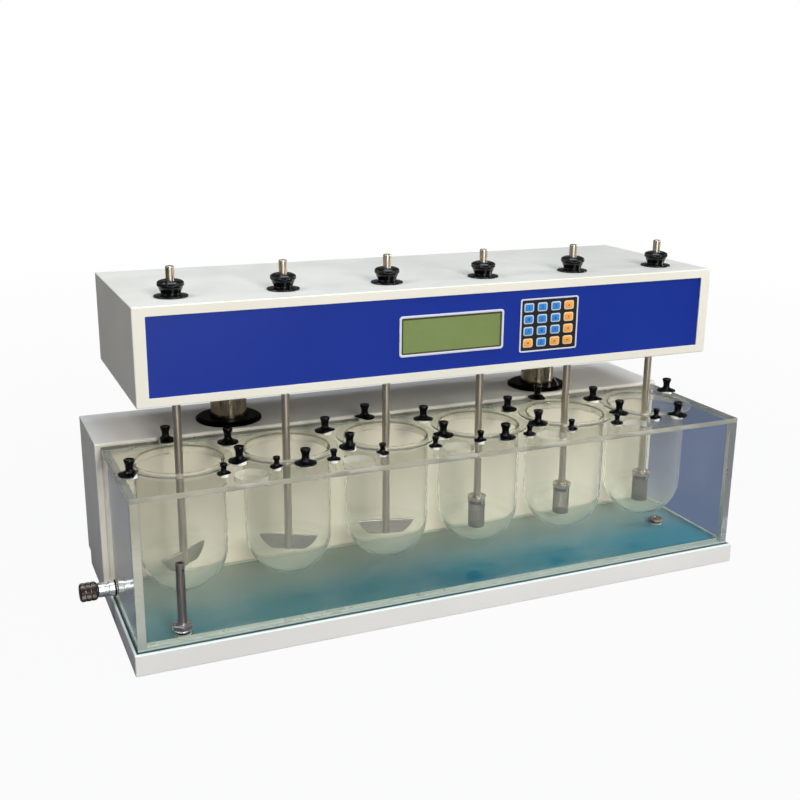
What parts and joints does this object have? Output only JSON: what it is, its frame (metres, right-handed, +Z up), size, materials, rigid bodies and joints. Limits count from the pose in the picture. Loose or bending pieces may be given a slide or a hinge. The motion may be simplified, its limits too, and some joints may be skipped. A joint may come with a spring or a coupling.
{
  "type": "tablet dissolution tester",
  "caption": "Bench-top tablet dissolution tester: glass vessels hang in a clear water bath under a lifting drive head that turns stirring paddles and baskets.",
  "frame": {"origin": "centre of the base's underside, where it stands on the bench", "axes": "+X to the right seen from the front, the front faces -Y, +Z up"},
  "size_m": [0.862, 0.329, 0.439],
  "materials": {
    "white_enamel": "smooth glossy enamel",
    "clear_acrylic": "clear, polished",
    "vessel_glass": "clear, polished",
    "black_plastic": "glossy moulded",
    "stainless_steel": "ground and polished",
    "chromed_brass": "polished",
    "dark_bronze": "dark, knurled",
    "blue_film": "satin film",
    "olive_lcd": "smooth window",
    "keypad_film": "satin membrane"
  },
  "bodies": {
    "base": {"base_tray": "white_enamel", "rear_housing": "white_enamel", "column_guide": "black_plastic", "water_tank": "clear_acrylic", "vessel_plate": "clear_acrylic", "vessel_1": "vessel_glass", "vessel_2": "vessel_glass", "vessel_3": "vessel_glass", "vessel_4": "vessel_glass", "vessel_5": "vessel_glass", "vessel_6": "vessel_glass", "drain_valve_body": "chromed_brass", "standpipe": "stainless_steel", "bath_return_fitting": "stainless_steel"},
    "head": {"head_casing": "white_enamel", "control_panel": "blue_film", "display": "olive_lcd", "keypad": "keypad_film", "lift_frame": "stainless_steel"},
    "spindle_1": {"chuck_spindle_1": "black_plastic"},
    "spindle_2": {"chuck_spindle_2": "black_plastic"},
    "spindle_3": {"chuck_spindle_3": "black_plastic"},
    "spindle_4": {"chuck_spindle_4": "black_plastic"},
    "spindle_5": {"chuck_spindle_5": "black_plastic"},
    "spindle_6": {"chuck_spindle_6": "black_plastic"},
    "shaft_1": {"paddle_shaft_1": "stainless_steel"},
    "shaft_2": {"paddle_shaft_2": "stainless_steel"},
    "shaft_3": {"paddle_shaft_3": "stainless_steel"},
    "shaft_4": {"basket_shaft_4": "stainless_steel"},
    "shaft_5": {"basket_shaft_5": "stainless_steel"},
    "shaft_6": {"basket_shaft_6": "stainless_steel"},
    "vessel_clamp_1a": {"vessel_clamp_1a": "black_plastic"},
    "vessel_clamp_1b": {"vessel_clamp_1b": "black_plastic"},
    "vessel_clamp_1c": {"vessel_clamp_1c": "black_plastic"},
    "vessel_clamp_2a": {"vessel_clamp_2a": "black_plastic"},
    "vessel_clamp_2b": {"vessel_clamp_2b": "black_plastic"},
    "vessel_clamp_2c": {"vessel_clamp_2c": "black_plastic"},
    "vessel_clamp_3a": {"vessel_clamp_3a": "black_plastic"},
    "vessel_clamp_3b": {"vessel_clamp_3b": "black_plastic"},
    "vessel_clamp_3c": {"vessel_clamp_3c": "black_plastic"},
    "vessel_clamp_4a": {"vessel_clamp_4a": "black_plastic"},
    "vessel_clamp_4b": {"vessel_clamp_4b": "black_plastic"},
    "vessel_clamp_4c": {"vessel_clamp_4c": "black_plastic"},
    "vessel_clamp_5a": {"vessel_clamp_5a": "black_plastic"},
    "vessel_clamp_5b": {"vessel_clamp_5b": "black_plastic"},
    "vessel_clamp_5c": {"vessel_clamp_5c": "black_plastic"},
    "vessel_clamp_6a": {"vessel_clamp_6a": "black_plastic"},
    "vessel_clamp_6b": {"vessel_clamp_6b": "black_plastic"},
    "vessel_clamp_6c": {"vessel_clamp_6c": "black_plastic"},
    "port_clamp_1a": {"port_clamp_1a": "black_plastic"},
    "port_clamp_1b": {"port_clamp_1b": "black_plastic"},
    "port_clamp_2a": {"port_clamp_2a": "black_plastic"},
    "port_clamp_2b": {"port_clamp_2b": "black_plastic"},
    "port_clamp_3a": {"port_clamp_3a": "black_plastic"},
    "port_clamp_3b": {"port_clamp_3b": "black_plastic"},
    "port_clamp_4a": {"port_clamp_4a": "black_plastic"},
    "port_clamp_4b": {"port_clamp_4b": "black_plastic"},
    "port_clamp_5a": {"port_clamp_5a": "black_plastic"},
    "port_clamp_5b": {"port_clamp_5b": "black_plastic"},
    "valve_knob": {"drain_valve_knob": "dark_bronze"}
  },
  "joints": [
    {"name": "head_lift", "type": "slide", "parent": "base", "child": "head", "axis": [0, 0, 1], "range_m": [0, 0.15]},
    {"name": "spindle_1_turn", "type": "hinge", "parent": "head", "child": "spindle_1", "pos_m": [-0.33, -0.0535, 0.404], "axis": [0, 0, 1], "continuous": true},
    {"name": "spindle_2_turn", "type": "hinge", "parent": "head", "child": "spindle_2", "pos_m": [-0.198, -0.0535, 0.404], "axis": [0, 0, 1], "continuous": true},
    {"name": "spindle_3_turn", "type": "hinge", "parent": "head", "child": "spindle_3", "pos_m": [-0.066, -0.0535, 0.404], "axis": [0, 0, 1], "continuous": true},
    {"name": "spindle_4_turn", "type": "hinge", "parent": "head", "child": "spindle_4", "pos_m": [0.066, -0.0535, 0.404], "axis": [0, 0, 1], "continuous": true},
    {"name": "spindle_5_turn", "type": "hinge", "parent": "head", "child": "spindle_5", "pos_m": [0.198, -0.0535, 0.404], "axis": [0, 0, 1], "continuous": true},
    {"name": "spindle_6_turn", "type": "hinge", "parent": "head", "child": "spindle_6", "pos_m": [0.33, -0.0535, 0.404], "axis": [0, 0, 1], "continuous": true},
    {"name": "shaft_1_height", "type": "slide", "parent": "spindle_1", "child": "shaft_1", "axis": [0, 0, 1], "range_m": [-0.012, 0.19]},
    {"name": "shaft_2_height", "type": "slide", "parent": "spindle_2", "child": "shaft_2", "axis": [0, 0, 1], "range_m": [-0.012, 0.19]},
    {"name": "shaft_3_height", "type": "slide", "parent": "spindle_3", "child": "shaft_3", "axis": [0, 0, 1], "range_m": [-0.012, 0.19]},
    {"name": "shaft_4_height", "type": "slide", "parent": "spindle_4", "child": "shaft_4", "axis": [0, 0, 1], "range_m": [-0.012, 0.175]},
    {"name": "shaft_5_height", "type": "slide", "parent": "spindle_5", "child": "shaft_5", "axis": [0, 0, 1], "range_m": [-0.012, 0.175]},
    {"name": "shaft_6_height", "type": "slide", "parent": "spindle_6", "child": "shaft_6", "axis": [0, 0, 1], "range_m": [-0.012, 0.175]},
    {"name": "vessel_clamp_1a_turn", "type": "hinge", "parent": "base", "child": "vessel_clamp_1a", "pos_m": [-0.33, 0.0195, 0.208], "axis": [0, 0, 1], "continuous": true},
    {"name": "vessel_clamp_1b_turn", "type": "hinge", "parent": "base", "child": "vessel_clamp_1b", "pos_m": [-0.39322, -0.09, 0.208], "axis": [0, 0, 1], "continuous": true},
    {"name": "vessel_clamp_1c_turn", "type": "hinge", "parent": "base", "child": "vessel_clamp_1c", "pos_m": [-0.26678, -0.09, 0.208], "axis": [0, 0, 1], "continuous": true},
    {"name": "vessel_clamp_2a_turn", "type": "hinge", "parent": "base", "child": "vessel_clamp_2a", "pos_m": [-0.13478, -0.017, 0.208], "axis": [0, 0, 1], "continuous": true},
    {"name": "vessel_clamp_2b_turn", "type": "hinge", "parent": "base", "child": "vessel_clamp_2b", "pos_m": [-0.26122, -0.017, 0.208], "axis": [0, 0, 1], "continuous": true},
    {"name": "vessel_clamp_2c_turn", "type": "hinge", "parent": "base", "child": "vessel_clamp_2c", "pos_m": [-0.198, -0.1265, 0.208], "axis": [0, 0, 1], "continuous": true},
    {"name": "vessel_clamp_3a_turn", "type": "hinge", "parent": "base", "child": "vessel_clamp_3a", "pos_m": [-0.066, 0.0195, 0.208], "axis": [0, 0, 1], "continuous": true},
    {"name": "vessel_clamp_3b_turn", "type": "hinge", "parent": "base", "child": "vessel_clamp_3b", "pos_m": [-0.12922, -0.09, 0.208], "axis": [0, 0, 1], "continuous": true},
    {"name": "vessel_clamp_3c_turn", "type": "hinge", "parent": "base", "child": "vessel_clamp_3c", "pos_m": [-0.00278, -0.09, 0.208], "axis": [0, 0, 1], "continuous": true},
    {"name": "vessel_clamp_4a_turn", "type": "hinge", "parent": "base", "child": "vessel_clamp_4a", "pos_m": [0.12922, -0.017, 0.208], "axis": [0, 0, 1], "continuous": true},
    {"name": "vessel_clamp_4b_turn", "type": "hinge", "parent": "base", "child": "vessel_clamp_4b", "pos_m": [0.00278, -0.017, 0.208], "axis": [0, 0, 1], "continuous": true},
    {"name": "vessel_clamp_4c_turn", "type": "hinge", "parent": "base", "child": "vessel_clamp_4c", "pos_m": [0.066, -0.1265, 0.208], "axis": [0, 0, 1], "continuous": true},
    {"name": "vessel_clamp_5a_turn", "type": "hinge", "parent": "base", "child": "vessel_clamp_5a", "pos_m": [0.198, 0.0195, 0.208], "axis": [0, 0, 1], "continuous": true},
    {"name": "vessel_clamp_5b_turn", "type": "hinge", "parent": "base", "child": "vessel_clamp_5b", "pos_m": [0.13478, -0.09, 0.208], "axis": [0, 0, 1], "continuous": true},
    {"name": "vessel_clamp_5c_turn", "type": "hinge", "parent": "base", "child": "vessel_clamp_5c", "pos_m": [0.26122, -0.09, 0.208], "axis": [0, 0, 1], "continuous": true},
    {"name": "vessel_clamp_6a_turn", "type": "hinge", "parent": "base", "child": "vessel_clamp_6a", "pos_m": [0.39322, -0.017, 0.208], "axis": [0, 0, 1], "continuous": true},
    {"name": "vessel_clamp_6b_turn", "type": "hinge", "parent": "base", "child": "vessel_clamp_6b", "pos_m": [0.26678, -0.017, 0.208], "axis": [0, 0, 1], "continuous": true},
    {"name": "vessel_clamp_6c_turn", "type": "hinge", "parent": "base", "child": "vessel_clamp_6c", "pos_m": [0.33, -0.1265, 0.208], "axis": [0, 0, 1], "continuous": true},
    {"name": "port_clamp_1a_turn", "type": "hinge", "parent": "base", "child": "port_clamp_1a", "pos_m": [-0.295, -0.1265, 0.208], "axis": [0, 0, 1], "continuous": true},
    {"name": "port_clamp_1b_turn", "type": "hinge", "parent": "base", "child": "port_clamp_1b", "pos_m": [-0.233, -0.1265, 0.208], "axis": [0, 0, 1], "continuous": true},
    {"name": "port_clamp_2a_turn", "type": "hinge", "parent": "base", "child": "port_clamp_2a", "pos_m": [-0.163, -0.1265, 0.208], "axis": [0, 0, 1], "continuous": true},
    {"name": "port_clamp_2b_turn", "type": "hinge", "parent": "base", "child": "port_clamp_2b", "pos_m": [-0.101, -0.1265, 0.208], "axis": [0, 0, 1], "continuous": true},
    {"name": "port_clamp_3a_turn", "type": "hinge", "parent": "base", "child": "port_clamp_3a", "pos_m": [-0.031, -0.1265, 0.208], "axis": [0, 0, 1], "continuous": true},
    {"name": "port_clamp_3b_turn", "type": "hinge", "parent": "base", "child": "port_clamp_3b", "pos_m": [0.031, -0.1265, 0.208], "axis": [0, 0, 1], "continuous": true},
    {"name": "port_clamp_4a_turn", "type": "hinge", "parent": "base", "child": "port_clamp_4a", "pos_m": [0.101, -0.1265, 0.208], "axis": [0, 0, 1], "continuous": true},
    {"name": "port_clamp_4b_turn", "type": "hinge", "parent": "base", "child": "port_clamp_4b", "pos_m": [0.163, -0.1265, 0.208], "axis": [0, 0, 1], "continuous": true},
    {"name": "port_clamp_5a_turn", "type": "hinge", "parent": "base", "child": "port_clamp_5a", "pos_m": [0.233, -0.1265, 0.208], "axis": [0, 0, 1], "continuous": true},
    {"name": "port_clamp_5b_turn", "type": "hinge", "parent": "base", "child": "port_clamp_5b", "pos_m": [0.295, -0.1265, 0.208], "axis": [0, 0, 1], "continuous": true},
    {"name": "drain_valve_turn", "type": "hinge", "parent": "base", "child": "valve_knob", "pos_m": [-0.42, -0.02, 0.045], "axis": [1, 0, 0], "range_deg": [0, 360]}
  ],
  "couplings": [
    {"joint": "spindle_2_turn", "follows": "spindle_1_turn", "ratio": 1},
    {"joint": "spindle_3_turn", "follows": "spindle_1_turn", "ratio": 1},
    {"joint": "spindle_4_turn", "follows": "spindle_1_turn", "ratio": 1},
    {"joint": "spindle_5_turn", "follows": "spindle_1_turn", "ratio": 1},
    {"joint": "spindle_6_turn", "follows": "spindle_1_turn", "ratio": 1}
  ]
}
